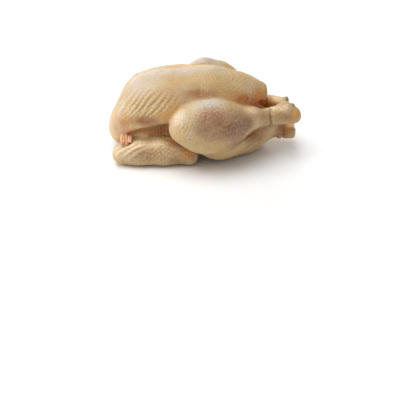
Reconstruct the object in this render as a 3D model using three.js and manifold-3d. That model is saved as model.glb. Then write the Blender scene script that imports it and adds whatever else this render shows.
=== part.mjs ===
// A whole raw chicken, oven ready: plucked and drawn, on its back with the breast up, the neck end
// towards -X, the hocks and the tail towards +X. It is one piece, so it is one closed solid: its
// muscles and joints are distance fields that melt into each other as flesh under one skin does.
// Millimetres, +Z up, origin in the middle of the footprint on the plane that it rests on.
import * as THREE from "three";
import { mergeVertices } from "three/addons/utils/BufferGeometryUtils.js";
import Module from "manifold-3d";

// ---- Driving dimensions. Points are [x, y, z]; the near side is -Y and most forms are mirrored.
const BREAST_LOBE = { centre: [-34, -26, 62], radii: [84, 39, 44], pitch: -2 };
const KEEL = { centre: [-32, 0, 62], radii: [92, 32, 48] };
const BREAST_END = { line: [[10, 0, 74], [46, 0, 71.5], [73, 0, 68.5]], radii: [36, 30, 22.5], limitX: 83.5 };
const RIB_CAGE = { centre: [-20, 0, 42], radii: [98, 46, 36] };
const BACK = { centre: [-12, 0, 27], radii: [92, 38, 29.5] };
const CROP = { centre: [-90, 0, 42], radii: [44, 44, 32], pitch: 6 };
const FRONT = { point: [-115, 0, 76], normal: [-0.915, 0, 0.403] };
const FLANK_HOLLOW = { line: [[-98, -58, 35.5], [-38, -66, 47]], radii: [9.5, 17] };
const NECK_FOLD = { centre: [-108.5, 0, 30.5], radii: [20, 39, 19], pitch: 20 };
const PELVIS = { centre: [54, 0, 34], radii: [50, 42, 28] };
const VENT = { line: [[66, -14, 60], [118, -14, 60]], radii: [15.5, 17] };

const THIGH = { centre: [18, -43, 36], radii: [38, 34, 33], pitch: -2, yaw: 14 };
const RUMP = { centre: [46, -25, 28], radii: [38, 25, 29], pitch: 4, yaw: 20 };
const NEAR_LEG = {
  calf: { centre: [1, -62, 57], radii: [51, 31, 37.5], pitch: -1, yaw: 8 },
  shank: { line: [[18, -59, 58], [58, -44, 59.5], [73, -37.5, 57], [103, -21.5, 53.8]], radii: [30, 15.8, 10.8, 13.4] },
  condyles: [
    { centre: [117.3, -21, 52.5], radii: [11, 13, 11.3] },
    { centre: [106, -20, 61.5], radii: [10.5, 11.5, 9.8] },
    { centre: [115.5, -20, 64.6], radii: [3.6, 5, 4.6] },
  ],
  end: [128, -21, 54],
};
const FAR_LEG = {
  calf: { centre: [8, -66, 59], radii: [46, 31, 37], pitch: -4, yaw: 8 },
  shank: { line: [[24, -63, 60], [60, -44, 56], [73, -36, 50.5], [98, -19, 52.5]], radii: [30, 16, 10, 10.2] },
  condyles: [
    { centre: [106, -17, 50], radii: [10, 10.5, 10.5] },
    { centre: [112, -17, 58], radii: [4.2, 5, 4.4] },
  ],
  end: [117, -17, 54],
};
const UNDERCUT = { point: [-34.5, -85, 41.5], normal: [-0.55, -0.35, -0.76] };
const END_SLANT = [1, 0.1, 0.25];
const FAR_KNEECAP = { centre: [2, 64, 86], radii: [14, 14, 14] };

const TAIL_ROOT = { line: [[80, 0, 32], [101, 0, 24]], radii: [18, 11] };
const TAIL_LOBES = [
  { centre: [93, 0, 23.5], radii: [4.5, 17, 10] },
  { centre: [101, 0, 19.5], radii: [5.5, 16, 10] },
];
const TAIL_TIP = { centre: [113.5, -5, 20], half: [9.5, 8.5, 8.5], round: 5, pitch: 2, yaw: 4 };

const FOREARM = {
  line: [[-26, -52, 15.5], [-58, -50, 17.5], [-88, -49, 16.5], [-110, -49.5, 14.5]],
  radii: [15, 16, 15.5, 13.5],
};
const UPPER_ARM = { line: [[-86, -32, 31], [-30, -42, 31]], radii: [14, 14] };
const ELBOW = { centre: [-21.5, -57, 10], radii: [9.5, 8, 8.5] };
const WING_TIP = { line: [[-106, -46, 15], [-86, -38, 12], [-60, -32, 9]], radii: [10, 9, 6] };
const TORN_FLESH = [
  { line: [[-109, -42, 36], [-109, -54, 33.5]], radii: [4.2, 2.6] },
  { line: [[-104, -44, 36], [-104, -56, 33]], radii: [4.2, 2.6] },
  { line: [[-99.5, -46, 36], [-99, -55, 35]], radii: [4, 2.4] },
];

// ---- Fineness of the faceted surface.
const CELL = 5.7;
const FINE_CELL = 4.2;
const FINE_FROM_X = 70;
const SETTLING_ROUNDS = 12;
const REACH = { min: [-132, -104, -12], max: [136, 108, 126] };

const SKIN = { color: 0xdfc49a, roughness: 0.5, metalness: 0 };

const vector = (coordinates) => new THREE.Vector3(...coordinates);

// ---- Distance fields: functions from a point to its distance from the form, negative inside.
function turned({ centre, pitch = 0, yaw = 0 }) {
  const { degToRad } = THREE.MathUtils;
  const turn = new THREE.Euler(0, degToRad(pitch), degToRad(yaw), "YZX");
  return new THREE.Matrix4().makeRotationFromEuler(turn).setPosition(...centre).invert();
}

function ellipsoid(form) {
  const toLocal = turned(form);
  const radii = vector(form.radii);
  const q = new THREE.Vector3();
  return (p) => {
    const reach = q.copy(p).applyMatrix4(toLocal).divide(radii).length();
    const slope = q.divide(radii).length();
    return (reach * (reach - 1)) / Math.max(slope, 1e-6);
  };
}

function roundCone(start, end, startRadius, endRadius) {
  const axis = new THREE.Line3(vector(start), vector(end));
  const nearest = new THREE.Vector3();
  return (p) => {
    const share = axis.closestPointToPointParameter(p, true);
    const radius = THREE.MathUtils.lerp(startRadius, endRadius, share);
    return axis.at(share, nearest).distanceTo(p) - radius;
  };
}

function limb({ line, radii }, blend = 6) {
  const cones = line.slice(1).map((end, i) => roundCone(line[i], end, radii[i], radii[i + 1]));
  return cones.reduce((joined, cone) => melt(joined, cone, blend));
}

function roundedBlock(form) {
  const toLocal = turned(form);
  const core = vector(form.half).subScalar(form.round);
  const q = new THREE.Vector3();
  return (p) => {
    q.copy(p).applyMatrix4(toLocal);
    q.set(Math.abs(q.x), Math.abs(q.y), Math.abs(q.z)).sub(core);
    const inner = Math.min(Math.max(q.x, q.y, q.z), 0);
    return q.clampScalar(0, Infinity).length() + inner - form.round;
  };
}

function halfSpace(point, normal) {
  const plane = new THREE.Plane().setFromNormalAndCoplanarPoint(vector(normal).normalize(), vector(point));
  return (p) => plane.distanceToPoint(p);
}

// Two distances joined over a seam of the given width, or one cut by the other.
function meltValues(a, b, width) {
  const overlap = Math.max(width - Math.abs(a - b), 0) / width;
  return Math.min(a, b) - (overlap * overlap * width) / 4;
}

const melt = (a, b, width) => (p) => meltValues(a(p), b(p), width);
const trim = (a, b, width) => (p) => -meltValues(-a(p), -b(p), width);
const hollow = (a, b, width) => (p) => -meltValues(-a(p), b(p), width);

function onSide(field, side) {
  const q = new THREE.Vector3();
  return (p) => field(q.set(p.x, side * p.y, p.z));
}

function onBothSides(field) {
  const q = new THREE.Vector3();
  return (p) => field(q.set(p.x, -Math.abs(p.y), p.z));
}

// ---- The bird.
function torso() {
  let body = melt(onBothSides(ellipsoid(BREAST_LOBE)), ellipsoid(KEEL), 14);
  body = melt(body, limb(BREAST_END, 10), 22);
  body = trim(body, halfSpace([BREAST_END.limitX, 0, 0], [1, 0, 0]), 7);
  body = melt(body, ellipsoid(RIB_CAGE), 8);
  body = melt(body, ellipsoid(BACK), 14);
  body = melt(body, ellipsoid(CROP), 12);
  body = trim(body, halfSpace(FRONT.point, FRONT.normal), 20);
  body = hollow(body, onBothSides(limb(FLANK_HOLLOW)), 8);
  body = melt(body, ellipsoid(NECK_FOLD), 6);
  body = melt(body, ellipsoid(PELVIS), 16);
  return hollow(body, onBothSides(limb(VENT)), 5);
}

function thighs() {
  return onBothSides(melt(ellipsoid(THIGH), ellipsoid(RUMP), 12));
}

function tail() {
  const root = TAIL_LOBES.reduce((joined, lobe) => melt(joined, ellipsoid(lobe), 2), limb(TAIL_ROOT));
  return melt(root, onBothSides(roundedBlock(TAIL_TIP)), 2.5);
}

function wings() {
  let wing = melt(limb(FOREARM, 14), limb(UPPER_ARM), 4);
  wing = melt(wing, ellipsoid(ELBOW), 6);
  return onBothSides(melt(wing, limb(WING_TIP), 3));
}

function tornFlesh() {
  const shreds = TORN_FLESH.map((shred) => limb(shred));
  return onBothSides(shreds.reduce((joined, shred) => melt(joined, shred, 3)));
}

// A drumstick folded back along the body, from its knee in the flank to the cut end of its hock.
function drumstick({ calf, shank, condyles, end }) {
  const belly = trim(ellipsoid(calf), halfSpace(UNDERCUT.point, UNDERCUT.normal), 8);
  const muscle = melt(belly, limb(shank, 5), 12);
  const leg = condyles.reduce((joined, condyle) => melt(joined, ellipsoid(condyle), 3.5), muscle);
  return trim(leg, halfSpace(end, END_SLANT), 3);
}

function bird() {
  let body = melt(torso(), thighs(), 12);
  body = melt(body, tail(), 10);
  body = melt(body, wings(), 3);
  body = melt(body, tornFlesh(), 1.5);
  body = melt(body, drumstick(NEAR_LEG), 4);
  const farLeg = melt(onSide(drumstick(FAR_LEG), -1), ellipsoid(FAR_KNEECAP), 12);
  return melt(body, farLeg, 4);
}

// ---- From field to faceted surface.
// A grid cell: its eight corners, its twelve edges as pairs of corners, and its six faces as edges.
// Edge 4a + c runs along axis a, and the bits of c are its steps along the next two axes.
const CORNERS = Array.from({ length: 8 }, (_, corner) => [corner & 1, (corner >> 1) & 1, corner >> 2]);
const EDGES = Array.from({ length: 12 }, (_, edge) => {
  const axis = edge >> 2;
  const start = ((edge & 1) << ((axis + 1) % 3)) | (((edge >> 1) & 1) << ((axis + 2) % 3));
  return [start, start | (1 << axis)];
});
const FACES = [0, 1, 2].flatMap((axis) =>
  [0, 1].map((side) => {
    const onFace = (corner) => CORNERS[corner][axis] === side;
    return [...EDGES.keys()].filter((edge) => EDGES[edge].every(onFace));
  }),
);

// The grid's lines lie closer together where the small forms are, at the hocks and the tail.
function gridLines(axis) {
  const lines = [REACH.min[axis]];
  while (lines.at(-1) < REACH.max[axis]) {
    const last = lines.at(-1);
    lines.push(last + (axis === 0 && last > FINE_FROM_X ? FINE_CELL : CELL));
  }
  return lines;
}

// One point for each sheet of surface in a grid cell, and one four-sided face round each grid edge
// that the surface crosses, turned outwards.
function surfaceNet(field) {
  const lines = [0, 1, 2].map(gridLines);
  const counts = lines.map((line) => line.length);
  const strides = [1, counts[0], counts[0] * counts[1]];
  const indexOf = (at) => at[0] + at[1] * strides[1] + at[2] * strides[2];
  const placeOf = (at) => vector(at.map((step, axis) => lines[axis][step]));
  const values = new Float32Array(counts[0] * counts[1] * counts[2]);
  forEachNode(counts, (at) => (values[indexOf(at)] = field(placeOf(at))));

  const points = [];
  const pointOfEdge = new Map();
  const keyOf = (cell, edge) => cell * EDGES.length + edge;
  forEachNode(counts.map((count) => count - 1), (at) => {
    const nodes = CORNERS.map((corner) => corner.map((step, axis) => at[axis] + step));
    const depths = nodes.map((node) => values[indexOf(node)]);
    for (const sheet of sheetsOfCell(depths.map((depth) => depth < 0))) {
      const middle = new THREE.Vector3();
      for (const edge of sheet) {
        const [start, end] = EDGES[edge];
        const share = depths[start] / (depths[start] - depths[end]);
        middle.add(placeOf(nodes[start]).lerp(placeOf(nodes[end]), share));
        pointOfEdge.set(keyOf(indexOf(at), edge), points.length);
      }
      points.push(middle.divideScalar(sheet.length));
    }
  });

  const quads = [];
  forEachNode(counts, (at) => {
    const here = indexOf(at);
    for (let axis = 0; axis < 3; axis++) {
      if (at[axis] === counts[axis] - 1) continue;
      const inside = values[here] < 0;
      if (inside === values[here + strides[axis]] < 0) continue;
      const b = strides[(axis + 1) % 3];
      const c = strides[(axis + 2) % 3];
      const quad = [[b + c, 3], [c, 2], [0, 0], [b, 1]].map(([back, corner]) =>
        pointOfEdge.get(keyOf(here - back, 4 * axis + corner)),
      );
      quads.push(inside ? quad : quad.reverse());
    }
  });
  return { points, quads };
}

function forEachNode([nx, ny, nz], visit) {
  for (let z = 0; z < nz; z++) {
    for (let y = 0; y < ny; y++) {
      for (let x = 0; x < nx; x++) visit([x, y, z]);
    }
  }
}

// Groups the edges of a cell that the surface crosses: edges met on one face belong to one sheet.
function sheetsOfCell(inside) {
  const crossed = (edge) => inside[EDGES[edge][0]] !== inside[EDGES[edge][1]];
  const sheetOf = EDGES.map((_, edge) => edge);
  const unite = ([first, second]) => {
    const [kept, dropped] = [sheetOf[first], sheetOf[second]];
    sheetOf.forEach((sheet, edge) => (sheetOf[edge] = sheet === dropped ? kept : sheet));
  };
  for (const face of FACES) {
    const met = face.filter(crossed);
    if (met.length === 2) unite(met);
    if (met.length === 4) {
      const innerCorners = CORNERS.keys().filter((corner) => inside[corner]);
      for (const corner of innerCorners) {
        const around = face.filter((edge) => EDGES[edge].includes(corner));
        if (around.length === 2) unite(around);
      }
    }
  }
  const sheets = [...new Set(sheetOf)].map((sheet) =>
    sheetOf.flatMap((other, edge) => (other === sheet && crossed(edge) ? [edge] : [])),
  );
  return sheets.filter((sheet) => sheet.length);
}

// Evens out the points along the surface, and puts each back onto it.
function settle({ points, quads }, field) {
  const neighbours = points.map(() => new Set());
  for (const quad of quads) {
    quad.forEach((corner, i) => neighbours[corner].add(quad[(i + 1) % 4]).add(quad[(i + 3) % 4]));
  }
  for (let round = 0; round < SETTLING_ROUNDS; round++) {
    const middles = neighbours.map((around) => {
      const middle = new THREE.Vector3();
      around.forEach((other) => middle.add(points[other]));
      return middle.divideScalar(around.size);
    });
    points.forEach((point, i) => pullOnto(point.lerp(middles[i], 0.5), field));
  }
}

function pullOnto(point, field) {
  const step = 0.05;
  const p = new THREE.Vector3();
  const slope = new THREE.Vector3();
  for (let pass = 0; pass < 3; pass++) {
    const value = field(point);
    for (let axis = 0; axis < 3; axis++) {
      p.copy(point).setComponent(axis, point.getComponent(axis) + step);
      slope.setComponent(axis, (field(p) - value) / step);
    }
    point.addScaledVector(slope, -value / Math.max(slope.lengthSq(), 0.1));
  }
}

// Each four-sided face is split along its shorter diagonal.
function trianglesOf({ points, quads }) {
  const index = quads.flatMap(([a, b, c, d]) => {
    const acrossAC = points[a].distanceToSquared(points[c]);
    const acrossBD = points[b].distanceToSquared(points[d]);
    return acrossAC < acrossBD ? [a, b, c, a, c, d] : [a, b, d, b, c, d];
  });
  return new THREE.BufferGeometry().setFromPoints(points).setIndex(index);
}

// ---- The flat that it rests on is an exact cut.
function solidOf(wasm, geometry) {
  geometry.deleteAttribute("normal");
  geometry.deleteAttribute("uv");
  const merged = mergeVertices(geometry, 1e-4);
  const vertProperties = merged.attributes.position.array;
  return new wasm.Manifold(
    new wasm.Mesh({ numProp: 3, vertProperties, triVerts: new Uint32Array(merged.index.array) }),
  );
}

function geometryOf(solid) {
  const { vertProperties, triVerts } = solid.getMesh();
  const geometry = new THREE.BufferGeometry();
  geometry.setAttribute("position", new THREE.BufferAttribute(vertProperties, 3));
  return geometry.setIndex(new THREE.BufferAttribute(triVerts, 1));
}

function cutFlat(wasm, geometry) {
  const low = vector(REACH.min).setZ(0);
  const high = vector(REACH.max);
  const size = high.clone().sub(low);
  const above = new THREE.BoxGeometry(...size).translate(...low.add(high).divideScalar(2));
  return geometryOf(solidOf(wasm, geometry).intersect(solidOf(wasm, above)));
}

const wasm = await Module();
wasm.setup();

const field = bird();
const net = surfaceNet(field);
settle(net, field);
const body = cutFlat(wasm, trianglesOf(net));
body.computeBoundingBox();
const middle = body.boundingBox.getCenter(new THREE.Vector3());
body.translate(-middle.x, -middle.y, 0);
body.computeVertexNormals();

const chicken = new THREE.Mesh(body, new THREE.MeshStandardMaterial(SKIN));
chicken.name = "chicken";

const part = new THREE.Group();
part.add(chicken);

export default part;
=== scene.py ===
"""A whole raw chicken, oven ready, lying on its back on a white floor.

The skin is one closed surface. It has the forms of the CAD solid, distance fields that melt into each other
as flesh under one skin does, but it is meshed more finely and given the skin's relief: feather follicles,
rows of ridges, tension lines and folds. Tints that follow the anatomy are stored on its points, and one
node material mixes them. Some tints are the skin's own colours; some are painted shade, darker in creases,
hollows and undersides, and some painted light, paler where the light falls or lifting skin that lies in
shade. The material also paints highlights on the crests of the relief and shade in its valleys. The torn
flesh under the neck skin is a second piece, meshed the same way.
Forms, patterns and tints are in millimetres in the frame that the forms are drawn in, with the near side
towards -Y. The finished meshes, the lights and the floor are in metres, and the bird is set over the CAD
node.
"""
from itertools import product
from math import cos, pi, radians, sin

import bpy
import numpy as np
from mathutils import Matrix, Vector, kdtree


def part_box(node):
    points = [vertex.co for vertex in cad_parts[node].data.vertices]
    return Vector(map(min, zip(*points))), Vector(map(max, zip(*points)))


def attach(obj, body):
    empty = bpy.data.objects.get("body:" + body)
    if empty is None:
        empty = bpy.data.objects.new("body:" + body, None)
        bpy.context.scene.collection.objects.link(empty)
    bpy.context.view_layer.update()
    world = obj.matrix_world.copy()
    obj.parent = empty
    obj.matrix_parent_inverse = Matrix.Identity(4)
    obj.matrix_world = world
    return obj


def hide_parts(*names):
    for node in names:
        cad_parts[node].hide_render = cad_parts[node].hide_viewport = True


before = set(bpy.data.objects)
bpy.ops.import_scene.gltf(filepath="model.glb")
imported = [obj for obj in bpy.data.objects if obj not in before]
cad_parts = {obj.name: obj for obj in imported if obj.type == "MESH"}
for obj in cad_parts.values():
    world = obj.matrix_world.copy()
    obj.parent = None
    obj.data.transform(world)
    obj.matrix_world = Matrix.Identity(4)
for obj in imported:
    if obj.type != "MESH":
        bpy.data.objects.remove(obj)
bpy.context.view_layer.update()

MM = 0.001
TINY = 1e-6

# ---- The forms of the bird. Points are (x, y, z); most forms are mirrored to the far side.
BREAST_LOBE = dict(centre=(-34, -26, 62), radii=(84, 39, 44), pitch=-2)
KEEL = dict(centre=(-32, 0, 62), radii=(92, 32, 48))
BREAST_END = dict(line=[(10, 0, 74), (46, 0, 71.5), (73, 0, 68.5)], radii=(36, 30, 22.5), blend=10)
BREAST_END_X = 83.5
RIB_CAGE = dict(centre=(-20, 0, 42), radii=(98, 46, 36))
BACK = dict(centre=(-12, 0, 27), radii=(92, 38, 29.5))
CROP = dict(centre=(-90, 0, 42), radii=(44, 44, 32), pitch=6)
FRONT = dict(point=(-115, 0, 76), normal=(-0.915, 0, 0.403))
FLANK_HOLLOW = dict(line=[(-98, -58, 35.5), (-38, -66, 47)], radii=(9.5, 17))
NECK_FOLD = dict(centre=(-108.5, 0, 30.5), radii=(20, 39, 19), pitch=20)
PELVIS = dict(centre=(54, 0, 34), radii=(50, 42, 28))
VENT = dict(line=[(66, -14, 60), (118, -14, 60)], radii=(15.5, 17))

THIGH = dict(centre=(18, -43, 36), radii=(38, 34, 33), pitch=-2, yaw=14)
RUMP = dict(centre=(46, -25, 28), radii=(38, 25, 29), pitch=4, yaw=20)
NEAR_LEG = dict(
    calf=dict(centre=(1, -62, 57), radii=(51, 31, 37.5), pitch=-1, yaw=8),
    shank=dict(line=[(18, -59, 58), (58, -44, 59.5), (73, -37.5, 57), (103, -21.5, 53.8)],
               radii=(30, 15.8, 10.8, 13.4), blend=5),
    condyles=[dict(centre=(117.3, -21, 52.5), radii=(11, 13, 11.3)),
              dict(centre=(106, -20, 61.5), radii=(10.5, 11.5, 9.8)),
              dict(centre=(115.5, -20, 64.6), radii=(3.6, 5, 4.6))],
    end=(128, -21, 54))
FAR_LEG = dict(
    calf=dict(centre=(8, -66, 59), radii=(46, 31, 37), pitch=-4, yaw=8),
    shank=dict(line=[(24, -63, 60), (60, -44, 56), (73, -36, 50.5), (98, -19, 52.5)],
               radii=(30, 16, 10, 10.2), blend=5),
    condyles=[dict(centre=(106, -17, 50), radii=(10, 10.5, 10.5)),
              dict(centre=(112, -17, 58), radii=(4.2, 5, 4.4))],
    end=(117, -17, 54))
UNDERCUT = dict(point=(-34.5, -85, 41.5), normal=(-0.55, -0.35, -0.76))
END_SLANT = (1, 0.1, 0.25)
FAR_KNEECAP = dict(centre=(2, 64, 86), radii=(14, 14, 14))

TAIL_ROOT = dict(line=[(80, 0, 32), (101, 0, 24)], radii=(18, 11))
TAIL_LOBES = [dict(centre=(93, 0, 23.5), radii=(4.5, 17, 10)),
              dict(centre=(101, 0, 19.5), radii=(5.5, 16, 10))]
TAIL_TIP = dict(centre=(113.5, -5, 20), half=(9.5, 8.5, 8.5), rounding=5, pitch=2, yaw=4)

FOREARM = dict(line=[(-26, -52, 15.5), (-58, -50, 17.5), (-88, -49, 16.5), (-110, -49.5, 14.5)],
               radii=(15, 16, 15.5, 13.5), blend=14)
UPPER_ARM = dict(line=[(-86, -32, 31), (-30, -42, 31)], radii=(14, 14))
ELBOW = dict(centre=(-21.5, -57, 10), radii=(9.5, 8, 8.5))
WING_TIP = dict(line=[(-106, -46, 15), (-86, -38, 12), (-60, -32, 9)], radii=(10, 9, 6))
SHREDS = [
    dict(line=[(-109, -42, 36), (-109, -54, 33.5)], radii=(4.2, 2.3)),
    dict(line=[(-104, -44, 36), (-104, -56, 33)], radii=(4.2, 2.3)),
    dict(line=[(-99.5, -46, 36), (-99, -55, 35)], radii=(4, 2.2)),
]

# How wide the seam is over which each form melts into the others, or is cut off or hollowed out.
TORSO_SEAMS = dict(keel=14, breast_end=22, tip=7, rib_cage=8, back=14, crop=12, front=20, flank=8,
                   neck_fold=6, pelvis=16, vent=5)
THIGH_SEAM = 12
TAIL_SEAMS = dict(lobe=2, tip=2.5)
WING_SEAMS = dict(upper_arm=4, elbow=6, tip=3)
LEG_SEAMS = dict(undercut=8, shank=12, condyle=3.5, end=3, kneecap=12)
SHRED_SEAM = 1.2
BIRD_SEAMS = dict(thighs=12, tail=10, wings=2.5, near_leg=3, far_leg=3)
FLOOR_EDGE = 2

# ---- How the skin and the flesh are meshed.
REACH = ((-132, -104, -12), (136, 108, 126))
GRID = 2.68
FLESH_REACH = ((-120, -66, 24), (-90, 66, 48))
FLESH_GRID = 1.5
SETTLING_ROUNDS = 5
SLOPE_STEP = 0.05
LEAST_STEEPNESS = 0.1

# ---- The camera, placed in the same frame as the forms.
CAMERA = dict(place=(-66.405, -1267.092, 639.666), aim=(-8.393, -49.186, -58.277), lens=93.5, sensor=36)


# ---- Distance fields: each takes points as rows and gives their distances, negative inside.
def into_form(points, centre, pitch, yaw):
    """The points in the axes of a form that stands at centre, turned by pitch and then by its own yaw."""
    across = np.array([[cos(pitch), 0, sin(pitch)], [0, 1, 0], [-sin(pitch), 0, cos(pitch)]])
    about = np.array([[cos(yaw), -sin(yaw), 0], [sin(yaw), cos(yaw), 0], [0, 0, 1]])
    return (points - centre) @ (across @ about)


def ellipsoid(points, centre, radii, pitch=0, yaw=0):
    q = into_form(points, centre, radians(pitch), radians(yaw)) / radii
    reach = np.sqrt((q * q).sum(1))
    q = q / radii
    slope = np.sqrt((q * q).sum(1))
    return reach * (reach - 1) / np.maximum(slope, TINY)


def round_cone(points, start, end, start_radius, end_radius):
    start = np.array(start, float)
    axis = np.array(end, float) - start
    offset = points - start
    share = np.clip(offset @ axis / (axis @ axis), 0, 1)
    gap = offset - share[:, None] * axis
    return np.sqrt((gap * gap).sum(1)) - (start_radius + (end_radius - start_radius) * share)


def limb(points, line, radii, blend=6):
    cones = [round_cone(points, *ends) for ends in zip(line, line[1:], radii, radii[1:])]
    joined = cones[0]
    for cone in cones[1:]:
        joined = melt(joined, cone, blend)
    return joined


def rounded_block(points, centre, half, rounding, pitch=0, yaw=0):
    q = np.abs(into_form(points, centre, radians(pitch), radians(yaw))) - np.subtract(half, rounding)
    outer = np.maximum(q, 0)
    return np.sqrt((outer * outer).sum(1)) + np.minimum(q.max(1), 0) - rounding


def half_space(points, point, normal):
    return (points - point) @ (np.array(normal) / np.linalg.norm(normal))


def melt(a, b, width):
    """Two distances joined over a seam of the given width."""
    overlap = np.maximum(width - np.abs(a - b), 0) / width
    return np.minimum(a, b) - overlap * overlap * width / 4


def trim(a, b, width):
    """What a and b have in common."""
    return -melt(-a, -b, width)


def hollow(a, b, width):
    """What is left of a without b."""
    return -melt(-a, b, width)


def mirrored(points):
    """The points with those of the far side brought to the near side, where y is negative."""
    return np.column_stack([points[:, 0], -np.abs(points[:, 1]), points[:, 2]])


# ---- The bird.
def torso(points):
    near = mirrored(points)
    seam = TORSO_SEAMS
    body = melt(ellipsoid(near, **BREAST_LOBE), ellipsoid(points, **KEEL), seam["keel"])
    body = melt(body, limb(points, **BREAST_END), seam["breast_end"])
    body = trim(body, points[:, 0] - BREAST_END_X, seam["tip"])
    body = melt(body, ellipsoid(points, **RIB_CAGE), seam["rib_cage"])
    body = melt(body, ellipsoid(points, **BACK), seam["back"])
    body = melt(body, ellipsoid(points, **CROP), seam["crop"])
    body = trim(body, half_space(points, **FRONT), seam["front"])
    body = hollow(body, limb(near, **FLANK_HOLLOW), seam["flank"])
    body = melt(body, ellipsoid(points, **NECK_FOLD), seam["neck_fold"])
    body = melt(body, ellipsoid(points, **PELVIS), seam["pelvis"])
    return hollow(body, limb(near, **VENT), seam["vent"])


def thighs(points):
    near = mirrored(points)
    return melt(ellipsoid(near, **THIGH), ellipsoid(near, **RUMP), THIGH_SEAM)


def tail(points):
    root = limb(points, **TAIL_ROOT)
    for lobe in TAIL_LOBES:
        root = melt(root, ellipsoid(points, **lobe), TAIL_SEAMS["lobe"])
    return melt(root, rounded_block(mirrored(points), **TAIL_TIP), TAIL_SEAMS["tip"])


def wings(points):
    near = mirrored(points)
    wing = melt(limb(near, **FOREARM), limb(near, **UPPER_ARM), WING_SEAMS["upper_arm"])
    wing = melt(wing, ellipsoid(near, **ELBOW), WING_SEAMS["elbow"])
    return melt(wing, limb(near, **WING_TIP), WING_SEAMS["tip"])


def shreds(points):
    near = mirrored(points)
    joined = limb(near, **SHREDS[0])
    for shred in SHREDS[1:]:
        joined = melt(joined, limb(near, **shred), SHRED_SEAM)
    return joined


def drumstick(points, calf, shank, condyles, end):
    """A drumstick folded back along the body, from its knee in the flank to the cut end of its hock."""
    belly = trim(ellipsoid(points, **calf), half_space(points, **UNDERCUT), LEG_SEAMS["undercut"])
    leg = melt(belly, limb(points, **shank), LEG_SEAMS["shank"])
    for condyle in condyles:
        leg = melt(leg, ellipsoid(points, **condyle), LEG_SEAMS["condyle"])
    return trim(leg, half_space(points, end, END_SLANT), LEG_SEAMS["end"])


def far_drumstick(points):
    flipped = points * (1, -1, 1)
    return melt(drumstick(flipped, **FAR_LEG), ellipsoid(points, **FAR_KNEECAP), LEG_SEAMS["kneecap"])


def parts(points):
    return {
        "torso": torso(points),
        "thighs": thighs(points),
        "tail": tail(points),
        "wings": wings(points),
        "near_leg": drumstick(points, **NEAR_LEG),
        "far_leg": far_drumstick(points),
    }


def bird(points):
    part = parts(points)
    body = part["torso"]
    for name, width in BIRD_SEAMS.items():
        body = melt(body, part[name], width)
    return trim(body, -points[:, 2], FLOOR_EDGE)


def slopes(points, field):
    ahead = [field(points + SLOPE_STEP * axis) for axis in np.eye(3)]
    behind = [field(points - SLOPE_STEP * axis) for axis in np.eye(3)]
    return np.column_stack([(a - b) / (2 * SLOPE_STEP) for a, b in zip(ahead, behind)])


# ---- From field to mesh. Edge 4a + c of a grid cell runs along axis a.
CORNERS = [(corner & 1, corner >> 1 & 1, corner >> 2) for corner in range(8)]
EDGES = []
for axis, step in product(range(3), range(4)):
    start = (step & 1) << (axis + 1) % 3 | (step >> 1) << (axis + 2) % 3
    EDGES.append((start, start | 1 << axis))
FACES = [[edge for edge, ends in enumerate(EDGES) if all(CORNERS[end][axis] == side for end in ends)]
         for axis, side in product(range(3), range(2))]


def sheets_of(inside):
    """The sheet of surface that crosses each edge of a cell, or -1: edges met on one face are one sheet."""
    crossed = [inside[a] != inside[b] for a, b in EDGES]
    sheet = list(range(len(EDGES)))

    def unite(first, second):
        kept, dropped = sheet[first], sheet[second]
        sheet[:] = [kept if s == dropped else s for s in sheet]

    for face in FACES:
        met = [edge for edge in face if crossed[edge]]
        if len(met) == 2:
            unite(*met)
        if len(met) == 4:
            for corner in range(8):
                around = [edge for edge in face if corner in EDGES[edge]]
                if inside[corner] and len(around) == 2:
                    unite(*around)
    names = sorted({s for s, c in zip(sheet, crossed) if c})
    return [names.index(s) if c else -1 for s, c in zip(sheet, crossed)]


def surface_net(field, reach, spacing):
    """Points and four-sided faces of the field's surface: a point for each sheet of surface in a cell."""
    lines = [np.arange(low, high + spacing, spacing) for low, high in zip(*reach)]
    grid = np.stack(np.meshgrid(*lines, indexing="ij"), -1)
    shape = np.array(grid.shape[:3])
    values = field(grid.reshape(-1, 3)).reshape(shape)
    inside = values < 0

    def corner_of(array, corner):
        return array[tuple(slice(c, n - 1 + c) for c, n in zip(corner, shape))]

    pattern = sum(corner_of(inside, corner).astype(int) << i for i, corner in enumerate(CORNERS))
    table = np.array([sheets_of([bool(p >> i & 1) for i in range(8)]) for p in range(256)])
    cells = np.argwhere((pattern > 0) & (pattern < 255))
    edge_sheets = table[pattern[tuple(cells.T)]]
    counts = edge_sheets.max(1) + 1
    first = np.cumsum(counts) - counts

    points = np.zeros((counts.sum(), 3))
    crossings = np.zeros(counts.sum())
    for edge, (start, end) in enumerate(EDGES):
        hit = edge_sheets[:, edge] >= 0
        nodes = [tuple((cells[hit] + CORNERS[corner]).T) for corner in (start, end)]
        depths = [values[node] for node in nodes]
        share = (depths[0] / (depths[0] - depths[1]))[:, None]
        point = first[hit] + edge_sheets[hit, edge]
        np.add.at(points, point, grid[nodes[0]] * (1 - share) + grid[nodes[1]] * share)
        np.add.at(crossings, point, 1)
    points /= crossings[:, None]

    number = np.full(shape, -1)
    number[tuple(cells.T)] = np.arange(len(cells))
    quads = []
    for axis in range(3):
        b, c = np.eye(3, dtype=int)[[(axis + 1) % 3, (axis + 2) % 3]]
        ahead = np.eye(3, dtype=int)[axis]
        nodes = np.argwhere(corner_of(inside, (0, 0, 0)) != corner_of(inside, ahead))
        around = []
        for back, step in ((b + c, 3), (c, 2), (0 * b, 0), (b, 1)):
            cell = number[tuple((nodes - back).T)]
            around.append(first[cell] + edge_sheets[cell, 4 * axis + step])
        faces = np.column_stack(around)
        outwards = inside[tuple(nodes.T)]
        quads.append(np.where(outwards[:, None], faces, faces[:, ::-1]))
    return points, np.concatenate(quads)


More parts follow.
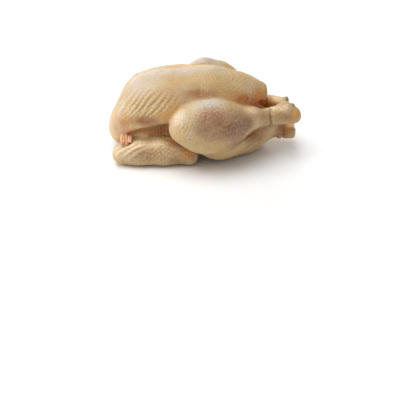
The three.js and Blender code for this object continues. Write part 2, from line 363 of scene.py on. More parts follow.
def sides_of(quads):
    """Each pair of points that share an edge, once, and the four edges of each face."""
    pairs = np.stack([quads, np.roll(quads, -1, 1)], -1).reshape(-1, 2)
    pairs, number = np.unique(np.sort(pairs, 1), axis=0, return_inverse=True)
    return pairs, number.reshape(-1, 4)


def settled(points, quads, field):
    """The points evened out along the surface."""
    pairs, _ = sides_of(quads)
    for _ in range(SETTLING_ROUNDS):
        middles = np.zeros_like(points)
        for here, there in (pairs.T, pairs.T[::-1]):
            np.add.at(middles, here, points[there])
        middles /= np.bincount(pairs.ravel())[:, None]
        points = pulled_onto((points + middles) / 2, field, passes=1)
    return pulled_onto(points, field, passes=2)


def pulled_onto(points, field, passes):
    for _ in range(passes):
        slope = slopes(points, field)
        steepness = np.maximum((slope * slope).sum(1), LEAST_STEEPNESS)
        points = points - slope * (field(points) / steepness)[:, None]
    return points


def subdivided(points, quads):
    pairs, edges = sides_of(quads)
    halves = len(points) + edges
    centres = len(points) + len(pairs) + np.arange(len(quads))
    finer = [np.column_stack([quads[:, i], halves[:, i], centres, halves[:, i - 1]]) for i in range(4)]
    return np.concatenate([points, points[pairs].mean(1), points[quads].mean(1)]), np.concatenate(finer)


# ---- Noise, and points scattered over the skin.
# Whole numbers that stir a grid corner's place and a seed into a random number of 32 bits.
AXIS_STIR = (73856093, 19349663, 83492791)
SEED_STIR = 2654435761
STIRS = [(15, 2246822519), (13, 3266489917)]
LARGEST = 0xFFFFFFFF


def noise(points, size, seed):
    """Smooth noise from -1 to 1 whose swells are about size across."""
    scaled = points / size + 0.5
    cell = np.floor(scaled).astype(np.int64)
    share = scaled - cell
    share = share * share * (3 - 2 * share)
    total = np.zeros(len(points))
    for corner in product((0, 1), repeat=3):
        key = (cell + corner) @ np.array(AXIS_STIR) + seed * SEED_STIR
        for shift, factor in STIRS:
            key = (key ^ (key >> shift)) * factor & LARGEST
        weight = np.where(corner, share, 1 - share).prod(1)
        total += weight * (key / (LARGEST // 2) - 1)
    return total


def swells(points, bands):
    """Noise in bands of (size, seed, height)."""
    return sum(height * noise(points, size, seed) for size, seed, height in bands)


def wandering(points, size, seed, middle, change, least, most):
    """A strength that wanders round its middle over the skin."""
    return np.clip(middle + change * noise(points, size, seed), least, most)


def scattered(points, gap, seed):
    """Numbers of points, drawn at random, that keep a gap from each other."""
    cells = {}
    chosen = []
    places = points.tolist()
    for i in np.random.default_rng(seed).permutation(len(points)).tolist():
        x, y, z = places[i]
        cx, cy, cz = int(x // gap), int(y // gap), int(z // gap)
        near = (q for dx, dy, dz in product((-1, 0, 1), repeat=3)
                for q in cells.get((cx + dx, cy + dy, cz + dz), ()))
        if all((x - a) ** 2 + (y - b) ** 2 + (z - c) ** 2 >= gap * gap for a, b, c in near):
            cells.setdefault((cx, cy, cz), []).append((x, y, z))
            chosen.append(i)
    return chosen


def nearest_two(points, chosen):
    """The distances from each point to the nearest two of the chosen ones."""
    tree = kdtree.KDTree(len(chosen))
    for i in chosen:
        tree.insert(points[i], i)
    tree.balance()
    return np.array([[found[2] for found in tree.find_n(point, 2)] for point in points])


def blob(points, middle, reach):
    """1 at the middle, and fading to nothing at the reach, which is a radius for each axis."""
    q = (points - middle) / reach
    return np.clip(1 - (q * q).sum(1), 0, 1) ** 1.5


# ---- Patterns of the skin, laid out as the bird's side unrolls from the breast downwards: (x, rise).
# A point's rise is this much of its height, less this much of its distance from the bird's middle.
RISE_BY_HEIGHT = 0.87
FALL_BY_WIDTH = 0.5

# Rows of ridges. Angles are those of the ridges, in degrees from +X towards the breast.
ROWS = [
    dict(part="torso", middle=(-79, 53), reach=(51, 23), angle=51, gap=7.0, beads=5.0, height=1.7),
    dict(part="torso", middle=(-78, 39), reach=(42, 12), angle=40, gap=4.6, beads=4.4, height=0.9),
    dict(part="torso", middle=(-1, 64), reach=(27, 12), angle=86, gap=3.9, beads=0, height=0.5),
    dict(part="torso", middle=(-10, 86), reach=(14, 10), angle=62, gap=4.4, beads=4.2, height=0.5),
    dict(part="torso", middle=(43, 78), reach=(22, 12), angle=40, gap=4.7, beads=4.2, height=0.8),
    dict(part="torso", middle=(-60, 14), reach=(22, 8), angle=96, gap=4.2, beads=4.4, height=2.2),
    dict(part="legs", middle=(-26, 14), reach=(14, 20), angle=65, gap=4.5, beads=4.5, height=0.6),
    dict(part="legs", middle=(9, 0), reach=(20, 7), angle=8, gap=4.2, beads=0, height=0.5),
    dict(part="legs", middle=(94, 34), reach=(24, 16), angle=102, gap=3.6, beads=3.8, height=1.1),
    dict(part="thighs", middle=(62, 0), reach=(30, 18), angle=30, gap=5.2, beads=4.6, height=1.3),
    dict(part="tail", middle=(104, 14), reach=(18, 14), angle=88, gap=4.2, beads=0, height=1.1),
    dict(part="wings", middle=(-97, -9), reach=(28, 15), angle=30, gap=6.8, beads=0, height=1.6),
    dict(part="wings", middle=(-58, -12), reach=(34, 16), angle=38, gap=4.8, beads=5.5, height=1.1),
]
BEAD_DEPTH = 0.32
SKIN_LEVEL = 0.4
WHORLS = [
    dict(middle=(18.4, 84.5), radii=(12.5, 9.4), angle=65, gap=3.6, rings=2, bars=0.8, hoops=0.8),
    dict(middle=(70.5, 68), radii=(7, 8.5), angle=0, gap=5, rings=1, bars=0, hoops=0.4),
]
WHORL_STRENGTH = dict(size=11, seed=9, middle=0.85, change=0.9, least=0.3, most=1)
BREAST_FOLD = [(-101, 12.9), (-95, 13.6), (-86, 16.5), (-62, 20.2), (-46, 22.5)]
FLAP_EDGE = [(-74, 10), (-60, 10.6), (-46, 9)]
GROOVES = [
    dict(part="legs", line=[(84.3, 42), (84.4, 27), (86.6, 16)], width=1.5, depth=1.6),
    dict(part="torso", line=BREAST_FOLD, width=1.9, depth=1.8),
    dict(part="torso", line=FLAP_EDGE, width=1.8, depth=0.7),
    dict(part="wings", line=FLAP_EDGE, width=1.8, depth=0.7),
    dict(part="thighs", line=[(70, 17), (63, 12), (56, 7), (48, 1), (39, -5)], width=1.4, depth=0.9),
    dict(part="legs", line=[(56, 7), (48, 0), (39, -6.5), (32, -11)], width=1.4, depth=0.9),
]
# Noise that bends the rows and whorls.
WARP_SIZE = 17
WARP_SEEDS = (31, 32, 33)
WARP_REACH = 2.2

# The follicles: round bumps of the skin, and the shallow furrows between neighbours.
FOLLICLE_GAP = 3.7
FOLLICLE_SEED = 5
FOLLICLE_RADIUS = 1.35
FOLLICLE_HEIGHT = 1.3
FURROW_RADIUS = 0.9
FURROW_DEPTH = 0.3
FOLLICLE_STRENGTH = dict(size=7, seed=6, middle=1, change=0.9, least=0.2, most=1.7)
# How strongly they stand out on each part, and where more or less than that.
BUMPS = dict(legs=0.24, wings=0.32, thighs=0.28, torso=0.13, tail=0.25)
BUMP_CHANGES = [
    dict(part="legs", middle=(12, 34), reach=(44, 22), change=0.12),
    dict(part="legs", middle=(46, 27), reach=(22, 16), change=0.16),
    dict(part="legs", middle=(5, -14), reach=(44, 14), change=-0.15),
    dict(part="legs", middle=(18, 44), reach=(50, 10), change=0.25),
    dict(part="torso", middle=(57, 62), reach=(15, 11), change=0.45),
    dict(part="torso", middle=(34, 62), reach=(26, 12), change=0.2),
    dict(part="torso", middle=(-62, 13), reach=(30, 9), change=0.4),
]
LEAST_BUMPS = 0.05
# The painted highlights on the follicles, and the painted shade in the furrows between them, are full where
# the bumps are this strong, and never weaker than the least.
FULL_DOTS_AT = 0.35
LEAST_DOTS = 0.25
DOT_LEVEL = 0.3

# Swells of the skin as (size, seed, height). The broad ones don't count as standing out.
FINE_SWELLS = [(5, 3, 0.12)]
BROAD_SWELLS = [(34, 1, 0.7), (14, 2, 0.35)]
# How far the relief lies under the solid's surface, and the share of it that is left deep in a crease.
SINK = 0.4
CREASE_RELIEF = 0.15
RISE_RANGE = 1.5

# Painted shade in creases and grooves: how far off other skin still darkens a crease, and how much each mark
# adds to that painted shade.
CLOSE = 3
WIDE = 9
CLOSE_CREASE_SHADE = 0.8
WIDE_CREASE_SHADE = 0.3
GROOVE_SHADE = 0.7
PART_BORDER = 2

# The strands of the torn flesh, and the height below which it is bloody.
STRAND_GAP = 3.2
STRAND_HEIGHT = 0.28
STRAND_BENDS = [(7, 41, 1.2)]
FLESH_SWELLS = [(6, 42, 0.5)]
BLOODY_BELOW = 35
BLOODY_FADE = 5


def unrolled(points):
    rise = RISE_BY_HEIGHT * points[:, 2] - FALL_BY_WIDTH * np.abs(points[:, 1])
    return np.column_stack([points[:, 0], rise])


def turned(offsets, angle):
    """Offsets on the unrolled side as (along, across) lines of the given angle."""
    c, s = cos(radians(angle)), sin(radians(angle))
    return offsets[:, 0] * c + offsets[:, 1] * s, offsets[:, 1] * c - offsets[:, 0] * s


def wave(distance, gap):
    return 0.5 + 0.5 * np.cos(2 * pi * distance / gap)


def rows(on, flat, warped, part, middle, reach, angle, gap, beads, height):
    """Parallel ridges, which are strings of beads where a length of bead is given."""
    along, across = turned(warped - middle, angle)
    ridge = wave(across, gap)
    if beads:
        bead = np.cos(2 * pi * (along / beads + 0.5 * np.round(across / gap)))
        ridge *= 1 - BEAD_DEPTH + BEAD_DEPTH * bead
    return on[part] * height * (ridge - SKIN_LEVEL) * blob(flat, middle, reach)


def whorl(flat, middle, radii, angle, gap, rings, bars, hoops):
    """An oval of slanting bars with rings round it."""
    offset = flat - middle
    span = np.sqrt((((offset / radii) ** 2).sum(1)))
    _, across = turned(offset, angle)
    outside = (span - 1) * np.mean(radii) / gap
    ring_fade = np.clip(1 - (outside - rings / 2) ** 2 / (rings / 2 + 0.5) ** 2, 0, 1)
    inner = bars * (wave(across, gap) - SKIN_LEVEL) * np.clip(1 - span ** 4, 0, 1)
    outer = hoops * (wave(outside, 1) - SKIN_LEVEL) * ring_fade
    return np.where(span < 1, inner, outer)


def groove(flat, line, width):
    """1 along the line, and fading to nothing over the width."""
    nearest = np.full(len(flat), np.inf)
    for start, end in zip(np.array(line, float), np.array(line[1:], float)):
        axis = end - start
        share = np.clip((flat - start) @ axis / (axis @ axis), 0, 1)
        gap = flat - start - share[:, None] * axis
        nearest = np.minimum(nearest, (gap * gap).sum(1))
    return np.exp(-nearest / width ** 2)


# ---- Tints: a colour, the size of its mottling, and blobs of it as (middle, reach, strength), on both sides.
# A later tint lies over the earlier ones.
TINTS = {
    "yellow": dict(tone=(208, 180, 108), grain=8, blobs=[
        ((-60, -60, 33), (36, 8, 5), 0.7),        # wing's top edge
        ((-76, -54, 37), (46, 10, 7), 0.9),       # flap over the wing
        ((-104, -46, 62), (28, 20, 16), 0.5),     # breast's front corner
        ((-70, -58, 78), (34, 16, 9), 0.4),       # breast's side
        ((44, -34, 86), (34, 14, 14), 0.5),       # breast above the leg
        ((16, -16, 109), (30, 22, 14), 0.5),      # top of the breast
        ((-20, -24, 108), (20, 14, 10), 0.35),
        ((10, -86, 36), (34, 20, 12), 0.35),      # drumstick's underside
        ((56, -62, 34), (28, 18, 12), 0.5)]),     # thigh under the shank
    # Painted sheen: a paler, greyer tone on the top of the breast, along the keel, on the breast's front, the
    # wing's front end and the drumstick's rims, where the light falls.
    "pale": dict(tone=(202, 191, 176), grain=9, blobs=[
        ((-86, -12, 98), (50, 36, 26), 0.9),      # top of the breast, in front
        ((-20, 0, 110), (80, 22, 12), 0.9),       # along the keel
        ((-114, -22, 72), (16, 26, 22), 0.7),     # breast's front
        ((4, -62, 99), (36, 24, 14), 0.9),        # drumstick's upper rim
        ((-2, -70, 92), (30, 16, 14), 0.6),
        ((-36, -76, 78), (15, 16, 20), 0.9),      # drumstick's front rim
        ((-108, -62, 26), (26, 18, 18), 0.4)]),   # wing's front end
    # Painted light in part: a light cream that lifts skin lying in shade, on the wing's top edge under the
    # breast's overhang, the flap, the drumstick's underside and the far shank; in part the skin's own cream.
    "cream_and_painted_light": dict(tone=(244, 216, 174), grain=5, blobs=[
        ((-108, -62, 26), (26, 18, 18), 0.6),     # wing's front end
        ((-80, -60, 33), (40, 12, 8), 0.8),       # wing's top edge
        ((-74, -57, 35), (38, 9, 7), 1.0),        # flap over the wing
        ((-86, -47, 38), (18, 8, 5), 0.6),
        ((-43, -55, 35), (10, 8, 7), 0.9),        # where the wing meets the knee
        ((-45, -66, 26), (18, 10, 14), 0.5),
        ((-36, -76, 78), (10, 14, 16), 0.35),     # drumstick's front rim
        ((4, -88, 28), (20, 12, 9), 0.4),         # drumstick's underside
        ((50, -52, 74), (24, 12, 7), 0.8),        # top of the calf's end
        ((90, -30, 66), (18, 12, 7), 0.9),        # shank
        ((97, -14, 61), (18, 9, 9), 1.0),
        ((107, -30, 65), (12, 12, 9), 0.9)]),     # hock
    "rose": dict(tone=(200, 134, 100), grain=7, blobs=[
        ((-115, -35, 52), (22, 24, 20), 0.25),    # breast's front
        ((-92, -50, 47), (36, 16, 8), 0.9),       # breast's lower edge
        ((-76, -58, 66), (34, 16, 9), 0.45),      # breast's lower side
        ((-43, -56, 35), (9, 8, 6), 0.9),         # where the wing meets the knee
        ((107, -32, 62), (12, 10, 12), 0.2)]),    # hock
    # Painted shade for the most part: a dark brown where shade falls, in the flank's hollow, on the breast's
    # lower side and front, under the breast's tip and on the undersides of the drumstick, thigh and wing; in
    # part the skin's own browner tone.
    "brown_and_painted_shade": dict(tone=(142, 88, 44), grain=8, blobs=[
        ((-116, -32, 50), (20, 22, 18), 0.4),     # breast's front
        ((-110, -42, 64), (18, 18, 14), 0.4),     # breast's front corner
        ((-108, -44, 56), (14, 14, 9), 0.3),
        ((-98, -52, 62), (24, 16, 12), 0.3),
        ((-79, -58, 64), (34, 14, 10), 0.7),      # breast's lower side
        ((-76, -60, 70), (24, 14, 9), 0.3),
        ((-28, -46, 94), (56, 16, 12), 0.35),     # breast's side above the drumstick
        ((-20, -38, 100), (62, 16, 12), 0.3),
        ((-4, -47, 97), (40, 10, 9), 0.5),
        ((64, -30, 76), (18, 14, 8), 0.5),        # under the breast's tip
        ((76, -16, 84), (14, 18, 16), 0.4),       # breast's tip
        ((-58, -50, 47), (32, 12, 11), 1.0),      # flank's hollow
        ((-82, -66, 20), (34, 14, 12), 0.45),     # wing's side
        ((-44, -64, 16), (16, 10, 12), 0.4),
        ((-38, -66, 8), (16, 8, 8), 0.3),
        ((32, -82, 36), (52, 16, 14), 0.3),       # drumstick's underside
        ((50, -68, 60), (18, 14, 12), 0.4),       # calf's end
        ((60, -40, 60), (20, 12, 18), 0.3),
        ((72, -46, 60), (16, 14, 14), 0.6),       # shank
        ((96, -34, 56), (20, 10, 14), 0.4),
        ((112, -30, 56), (16, 10, 14), 0.3),      # hock
        ((60, -60, 38), (26, 18, 14), 0.3),       # thigh under the shank
        ((66, -46, 36), (34, 18, 20), 0.9),
        ((104, -16, 26), (30, 20, 18), 0.6)]),    # tail
    # The skin's own orange-brown at the breast's tip, the vent's edge and the tail, laid on more strongly as
    # painted shade where shade falls, as on the tail under the hock and under the breast's tip.
    "orange_brown_and_painted_shade": dict(tone=(176, 94, 34), grain=6, blobs=[
        ((-60, -49, 46), (26, 10, 8), 0.25),      # flank's hollow
        ((-23, -62, 18), (12, 16, 12), 0.25),     # elbow
        ((40, -36, 88), (30, 14, 12), 0.55),      # breast above the leg
        ((50, -33, 81), (26, 14, 9), 0.9),
        ((64, -28, 73), (16, 12, 8), 0.9),        # under the breast's tip
        ((70, -22, 80), (16, 12, 14), 0.8),       # breast's tip
        ((84, -16, 54), (9, 12, 12), 0.9),        # edge of the vent
        ((99, -19, 33), (9, 8, 6), 0.8),          # tail
        ((104, -12, 33), (14, 14, 9), 0.6),
        ((98, -20, 26), (20, 14, 12), 0.15),
        ((110, -14, 26), (9, 12, 10), 0.6)]),
    "fat": dict(tone=(208, 142, 62), grain=6, blobs=[
        ((-106, -44, 58), (20, 18, 12), 0.2),     # breast's front corner
        ((-54, -62, 74), (16, 12, 9), 0.8),       # breast's side before the knee
        ((-42, -58, 83), (14, 12, 10), 0.4),
        ((-4, -44, 94), (44, 14, 10), 0.3),       # breast above the leg
        ((36, -38, 88), (26, 12, 10), 0.3),
        ((73, -22, 82), (15, 14, 15), 0.6),       # breast's tip
        ((82, -17, 54), (12, 10, 9), 1.0),        # edge of the vent; this blob and the next are lighter to lift the shade in the vent: painted light in part
        ((90, -14, 57), (7, 9, 7), 0.9),
        ((-46, -57, 35), (14, 9, 8), 0.5),        # where the wing meets the knee
        ((-25, -66, 22), (14, 16, 14), 0.9),      # elbow
        ((118, -31, 59), (8, 9, 7), 1.0),         # hock
        ((112, -8, 28), (8, 10, 5), 0.9)]),       # tail
    "muscle": dict(tone=(146, 104, 80), grain=4, blobs=[
        ((-9, -90, 70), (15, 18, 16), 0.5),       # calf, from the knee to its end
        ((6, -86, 82), (24, 22, 16), 0.8),
        ((16, -90, 62), (34, 20, 17), 0.8),
        ((38, -80, 46), (24, 20, 17), 0.8),
        ((40, -78, 70), (42, 26, 24), 0.9),
        ((48, -68, 60), (20, 16, 13), 0.7)]),
    "blood": dict(tone=(176, 106, 84), grain=4, blobs=[
        ((2, -86, 83), (26, 22, 14), 0.3),        # top of the calf
        ((58, -56, 70), (18, 14, 9), 0.3)]),      # calf's end
    # Painted light in part: the red-orange of the flesh in the vent and along the breast's lower edge, made
    # lighter than the flesh to lift the shade that falls in the vent.
    "deep": dict(tone=(228, 112, 54), grain=5, blobs=[
        ((60, -29, 73), (12, 9, 6), 0.7),         # under the breast's tip
        ((76, -18, 54), (10, 14, 15), 0.8),       # vent
        ((84, 0, 50), (26, 14, 12), 0.8),
        ((-84, -51, 46), (26, 6, 4), 0.25),       # under the breast's lower edge
        ((-52, -49, 45), (12, 6, 9), 0.15)]),
    "dark": dict(tone=(92, 62, 58), grain=4, blobs=[
        ((113, -15, 59), (5, 6, 6), 1.0),         # cut ends of the hocks
        ((116.5, -22, 67.5), (4, 5, 4), 0.8)]),
}


def tint(points, blobs):
    near = mirrored(points)
    return np.clip(sum(strength * blob(near, middle, reach) for middle, reach, strength in blobs), 0, 1)


# ---- The relief and the marks of each point.
def crowding(points, normals, reach):
    """How closely other skin faces each point: 0 in the open, 1 deep in a crease."""
    return np.clip(1 - bird(points + reach * normals) / reach, 0, 1)


def shares_of(points):
    """How far each point belongs to each part of the bird."""
    part = parts(points)
    distances = np.stack(list(part.values()))
    weights = np.exp(-(distances - distances.min(0)) / PART_BORDER)
    share = dict(zip(part, weights / weights.sum(0)))
    return dict(share, legs=share["near_leg"] + share["far_leg"])


def bump_strength(on, flat):
    """How strongly the follicles stand out at each point."""
    strength = sum(level * on[part] for part, level in BUMPS.items())
    for spot in BUMP_CHANGES:
        strength += spot["change"] * on[spot["part"]] * blob(flat, spot["middle"], spot["reach"])
    return strength


def follicles(points):
    """Round bumps at random places, with furrows between them, stronger here and weaker there."""
    near, next_near = nearest_two(points, scattered(points, FOLLICLE_GAP, FOLLICLE_SEED)).T
    bump = np.exp(-((near / FOLLICLE_RADIUS) ** 2))
    furrow = np.exp(-(((next_near - near) / FURROW_RADIUS) ** 2))
    return (FOLLICLE_HEIGHT * bump - FURROW_DEPTH * furrow) * wandering(points, **FOLLICLE_STRENGTH)


def skin_relief(points, on, open_skin):
    """Heights over the forms, and how far each point stands out, is on a follicle and is in a groove."""
    flat = unrolled(points)
    bends = np.column_stack([noise(points, WARP_SIZE, seed) for seed in WARP_SEEDS])
    warped = unrolled(points + WARP_REACH * bends)
    strength = bump_strength(on, flat)
    bumps = follicles(points)
    heights = np.maximum(strength, LEAST_BUMPS) * bumps
    dots = np.clip(np.clip(strength / FULL_DOTS_AT, LEAST_DOTS, 1) * (bumps - DOT_LEVEL), -1, 1)
    for band in ROWS:
        heights += rows(on, flat, warped, **band)
    faded = wandering(points, **WHORL_STRENGTH)
    for oval in WHORLS:
        heights += on["torso"] * faded * whorl(warped, **oval)
    grooved = np.zeros(len(points))
    for cut in GROOVES:
        depth = on[cut["part"]] * groove(flat, cut["line"], cut["width"])
        grooved += depth
        heights -= cut["depth"] * depth
    heights += swells(points, FINE_SWELLS)
    rise = np.clip(0.5 + heights / RISE_RANGE, 0, 1)
    heights += swells(points, BROAD_SWELLS) - SINK
    return heights * (CREASE_RELIEF + (1 - CREASE_RELIEF) * open_skin), rise, dots, grooved


def skin_mesh():
    points, quads = surface_net(bird, REACH, GRID)
    points = settled(points, quads, bird)
    points, quads = subdivided(points, quads)
    points = pulled_onto(points, bird, passes=2)
    normals = slopes(points, bird)
    normals /= np.linalg.norm(normals, axis=1)[:, None]
    close = crowding(points, normals, CLOSE)
    wide = crowding(points, normals, WIDE)
    heights, rise, dots, grooved = skin_relief(points, shares_of(points), 1 - close)
    marks = {name: tint(points, stain["blobs"]) for name, stain in TINTS.items()}
    # The crease mark is painted shade: darker where other skin lies close over a point, and along the
    # grooves.
    marks["crease"] = np.clip(CLOSE_CREASE_SHADE * close + WIDE_CREASE_SHADE * wide + GROOVE_SHADE * grooved, 0, 1)
    marks["rise"] = rise
    marks["dots"] = dots
    points = points + normals * heights[:, None]
    points[:, 2] = np.maximum(points[:, 2], 0)
    return points, quads, marks


def flesh_mesh():
    """The torn ends of the neck's flesh, with the strands that pull apart in them."""
    points, quads = surface_net(shreds, FLESH_REACH, FLESH_GRID)
    points, quads = subdivided(settled(points, quads, shreds), quads)
    points = pulled_onto(points, shreds, passes=2)
    normals = slopes(points, shreds)
    strands = np.sin(2 * pi * (points[:, 0] + swells(points, STRAND_BENDS)) / STRAND_GAP)
    heights = STRAND_HEIGHT * strands + swells(points, FLESH_SWELLS)
    marks = {"pale": np.clip(0.6 + 0.5 * strands, 0, 1),
             "bloody": np.clip((BLOODY_BELOW - points[:, 2]) / BLOODY_FADE, 0, 1)}
    return points + normals * heights[:, None], quads, marks


def shift_over_node(points):
    """What moves the forms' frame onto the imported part's."""
    low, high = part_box("chicken")
    middle = (np.array(low) + np.array(high)) / 2 - (points.min(0) + points.max(0)) / 2 * MM
    return Vector((middle[0], middle[1], 0))


def mesh_object(name, points, quads, marks):
    mesh = bpy.data.meshes.new(name)
    mesh.from_pydata(points.tolist(), [], quads.tolist())
    for mark, values in marks.items():
        layer = mesh.attributes.new(mark, "FLOAT", "POINT")
        layer.data.foreach_set("value", values.astype(np.float32))
    mesh.shade_smooth()
    piece = bpy.data.objects.new(name, mesh)
    bpy.context.scene.collection.objects.link(piece)
    return piece


# ---- Materials. Sizes of mottling and depths are metres here, as the shader nodes want them.
def colour(red, green, blue):
    """An sRGB colour of 0 to 255 as the shader wants it."""
    levels = [c / 255 for c in (red, green, blue)]
    return (*[c / 12.92 if c <= 0.04045 else ((c + 0.055) / 1.055) ** 2.4 for c in levels], 1)


# Between these the noise texture's values mostly stay.
NOISE_LOW = 0.3
NOISE_HIGH = 0.7


class Paint:
    """The nodes of one material, and short ways to add to them."""

    def __init__(self, name):
        self.material = bpy.data.materials.new(name)
        self.material.use_nodes = True
        self.tree = self.material.node_tree
        self.shader = self.tree.nodes["Principled BSDF"]
        self.place = self.tree.nodes.new("ShaderNodeTexCoord").outputs["Object"]

    def set(self, **values):
        for name, value in values.items():
            self.shader.inputs[name.replace("_", " ")].default_value = value

    def link(self, source, socket):
        if hasattr(source, "is_linked"):
            self.tree.links.new(source, socket)
        else:
            socket.default_value = source

    def mark(self, name):
        node = self.tree.nodes.new("ShaderNodeAttribute")
        node.attribute_name = name
        return node.outputs["Fac"]

    def mottle(self, size, low, high, detail=3):
        """Noise whose swells are about size metres, stretched to run from low to high."""
        node = self.tree.nodes.new("ShaderNodeTexNoise")
        self.link(self.place, node.inputs["Vector"])
        node.inputs["Scale"].default_value = 1 / size
        node.inputs["Detail"].default_value = detail
        return self.ranged(node.outputs["Fac"], NOISE_LOW, NOISE_HIGH, low, high)

    def ranged(self, value, from_low, from_high, low, high):
        node = self.tree.nodes.new("ShaderNodeMapRange")
        for name, source in (("Value", value), ("From Min", from_low), ("From Max", from_high),
                             ("To Min", low), ("To Max", high)):
            self.link(source, node.inputs[name])
        return node.outputs["Result"]

    def share_of(self, mark, none, full, strength):
        """A share that grows from 0, where the mark is none, to the strength, where it is full."""
        return self.ranged(self.mark(mark), none, full, 0, strength)

    def mottled_mark(self, mark, size, low, high):
        """The mark times mottling that runs from low to high."""
        node = self.tree.nodes.new("ShaderNodeMath")
        node.operation = "MULTIPLY"
        self.link(self.mark(mark), node.inputs[0])
        self.link(self.mottle(size, low, high), node.inputs[1])
        return node.outputs["Value"]

    def mixed(self, under, over, share):
        node = self.tree.nodes.new("ShaderNodeMix")
        node.data_type = "RGBA"
        self.link(share, node.inputs["Factor"])
        self.link(under, node.inputs["A"])
        self.link(over, node.inputs["B"])
        return node.outputs["Result"]

    def shaded(self, tone, saturation, value):
        """The same tone, but more or less saturated and lighter or darker."""
        node = self.tree.nodes.new("ShaderNodeHueSaturation")
        node.inputs["Saturation"].default_value = saturation
        node.inputs["Value"].default_value = value
        self.link(tone, node.inputs["Color"])
        return node.outputs["Color"]

    def grained(self, size, depth):
        """Fine grain, far too low to show in the outline."""
        node = self.tree.nodes.new("ShaderNodeBump")
        node.inputs["Distance"].default_value = depth
        self.link(self.mottle(size, 0, 1, detail=2), node.inputs["Height"])
        self.link(node.outputs["Normal"], self.shader.inputs["Normal"])


CREAM = colour(200, 178, 138)
BUTTER = colour(196, 162, 100)
PINK = colour(202, 156, 130)
# Painted shade for creases and grooves.
CREASE_SHADE = colour(140, 84, 44)
# Painted shade in the relief's valleys.
VALLEY_SHADE = colour(152, 108, 60)
FLESH = colour(206, 136, 92)
PALE_FLESH = colour(234, 190, 148)
BLOODY = colour(158, 64, 32)


def skin_tone(paint):
    """The skin's own colour under the tints that its points carry, some of them painted shade and painted
    light.
    """
    tone = paint.mixed(CREAM, BUTTER, paint.mottle(0.03, low=0.1, high=0.9))
    tone = paint.mixed(tone, PINK, paint.mottle(0.017, low=0, high=0.3))
    for name, stain in TINTS.items():
        share = paint.mottled_mark(name, stain["grain"] * MM, low=0.55, high=1.15)
        tone = paint.mixed(tone, colour(*stain["tone"]), share)
    return tone


def skin_material():
    paint = Paint("raw_skin")
    tone = skin_tone(paint)
    # A lighter and a darker copy of the tone: painted highlights on the crests of the relief and on the
    # follicles, painted shade in its valleys and in the furrows between follicles.
    painted_highlight_tone = paint.shaded(tone, saturation=0.9, value=1.2)
    painted_shade_tone = paint.shaded(paint.mixed(tone, VALLEY_SHADE, 0.4), saturation=1.12, value=0.74)
    tone = paint.mixed(tone, painted_shade_tone, paint.share_of("rise", none=0.5, full=0.1, strength=0.75))
    tone = paint.mixed(tone, painted_highlight_tone, paint.share_of("rise", none=0.5, full=1, strength=0.9))
    tone = paint.mixed(tone, painted_highlight_tone, paint.share_of("dots", none=0, full=1, strength=0.45))
    tone = paint.mixed(tone, painted_shade_tone, paint.share_of("dots", none=0, full=-1, strength=0.3))
    # Painted shade: the crease mark darkens the skin in creases and grooves.
    tone = paint.mixed(tone, CREASE_SHADE, paint.share_of("crease", none=0, full=1, strength=0.6))
    paint.link(tone, paint.shader.inputs["Base Color"])
    paint.link(paint.mottle(0.004, low=0.4, high=0.56), paint.shader.inputs["Roughness"])
    paint.set(Specular_IOR_Level=0.35, Subsurface_Weight=0.15, Subsurface_Radius=(1, 0.65, 0.4),
              Subsurface_Scale=0.001, Coat_Weight=0.08, Coat_Roughness=0.22)
    paint.grained(size=0.0012, depth=0.0002)
    return paint.material


def flesh_material():
    paint = Paint("raw_flesh")
    tone = paint.mixed(FLESH, PALE_FLESH, paint.mottled_mark("pale", 0.003, low=0.3, high=1))
    tone = paint.mixed(tone, BLOODY, paint.mottled_mark("bloody", 0.005, low=0, high=0.8))
    paint.link(tone, paint.shader.inputs["Base Color"])
    paint.link(paint.mottle(0.002, low=0.25, high=0.45), paint.shader.inputs["Roughness"])
    paint.set(Subsurface_Weight=0.2, Subsurface_Radius=(1, 0.4, 0.2), Subsurface_Scale=0.0012,
              Coat_Weight=0.3, Coat_Roughness=0.2)
    paint.grained(size=0.001, depth=0.0002)
    return paint.material


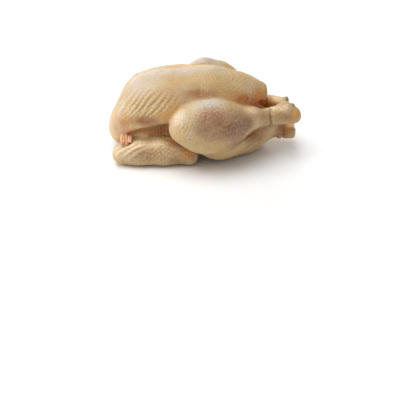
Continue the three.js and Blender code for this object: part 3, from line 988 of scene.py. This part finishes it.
# ---- Floor, lights and camera, in metres.
FLOOR_SIDE = 8
LAMP_AIM = (0, 0, 0.05)
LAMPS = [
    dict(name="overhead", place=(-0.5, 0, 1.9), size=2.0, power=31, glossy=True),
    dict(name="left", place=(-2.0, 0, 0.5), size=1.0, power=20, glossy=True),
    dict(name="behind", place=(0, 1.95, 0.5), size=1.0, power=33, glossy=False),
]
WHITE = (1, 1, 1, 1)
FLOOR_WHITE = (0.92, 0.92, 0.92, 1)
SKY_STRENGTH = 0.4


def floor():
    corners = [(x * FLOOR_SIDE / 2, y * FLOOR_SIDE / 2, 0) for x, y in ((-1, -1), (1, -1), (1, 1), (-1, 1))]
    mesh = bpy.data.meshes.new("floor")
    mesh.from_pydata(corners, [], [(0, 1, 2, 3)])
    piece = bpy.data.objects.new("floor", mesh)
    bpy.context.scene.collection.objects.link(piece)
    paint = Paint("white_floor")
    paint.set(Base_Color=FLOOR_WHITE, Roughness=0.7, Specular_IOR_Level=0.1)
    mesh.materials.append(paint.material)


def stand(rig, place, target):
    """Puts a lamp or the camera at its place in the scene and turns it towards the target."""
    rig.location = place
    rig.rotation_euler = (Vector(target) - rig.location).to_track_quat("-Z", "Y").to_euler()
    bpy.context.scene.collection.objects.link(rig)


def softbox(name, place, size, power, glossy):
    light = bpy.data.lights.new(name, "AREA")
    light.shape = "DISK"
    light.size = size
    light.energy = power
    lamp = bpy.data.objects.new(name, light)
    lamp.visible_glossy = glossy
    stand(lamp, place, LAMP_AIM)


def lighting():
    for lamp in LAMPS:
        softbox(**lamp)
    world = bpy.data.worlds.new("studio")
    world.use_nodes = True
    sky = world.node_tree.nodes["Background"]
    sky.inputs["Color"].default_value = WHITE
    sky.inputs["Strength"].default_value = SKY_STRENGTH
    bpy.context.scene.world = world


def camera(shift, place, aim, lens, sensor):
    data = bpy.data.cameras.new("camera")
    data.lens = lens
    data.sensor_width = sensor
    view = bpy.data.objects.new("camera", data)
    stand(view, Vector(place) * MM + shift, Vector(aim) * MM + shift)
    bpy.context.scene.camera = view


def piece_of(name, mesh, shift, material):
    points, quads, marks = mesh
    piece = mesh_object(name, points * MM + np.array(shift), quads, marks)
    piece.data.materials.append(material)
    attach(piece, "root")
    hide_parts("chicken")


skin = skin_mesh()
shift = shift_over_node(skin[0])
piece_of("skin", skin, shift, skin_material())
piece_of("flesh", flesh_mesh(), shift, flesh_material())

floor()
lighting()
camera(shift, **CAMERA)
bpy.context.scene.view_settings.view_transform = "Standard"
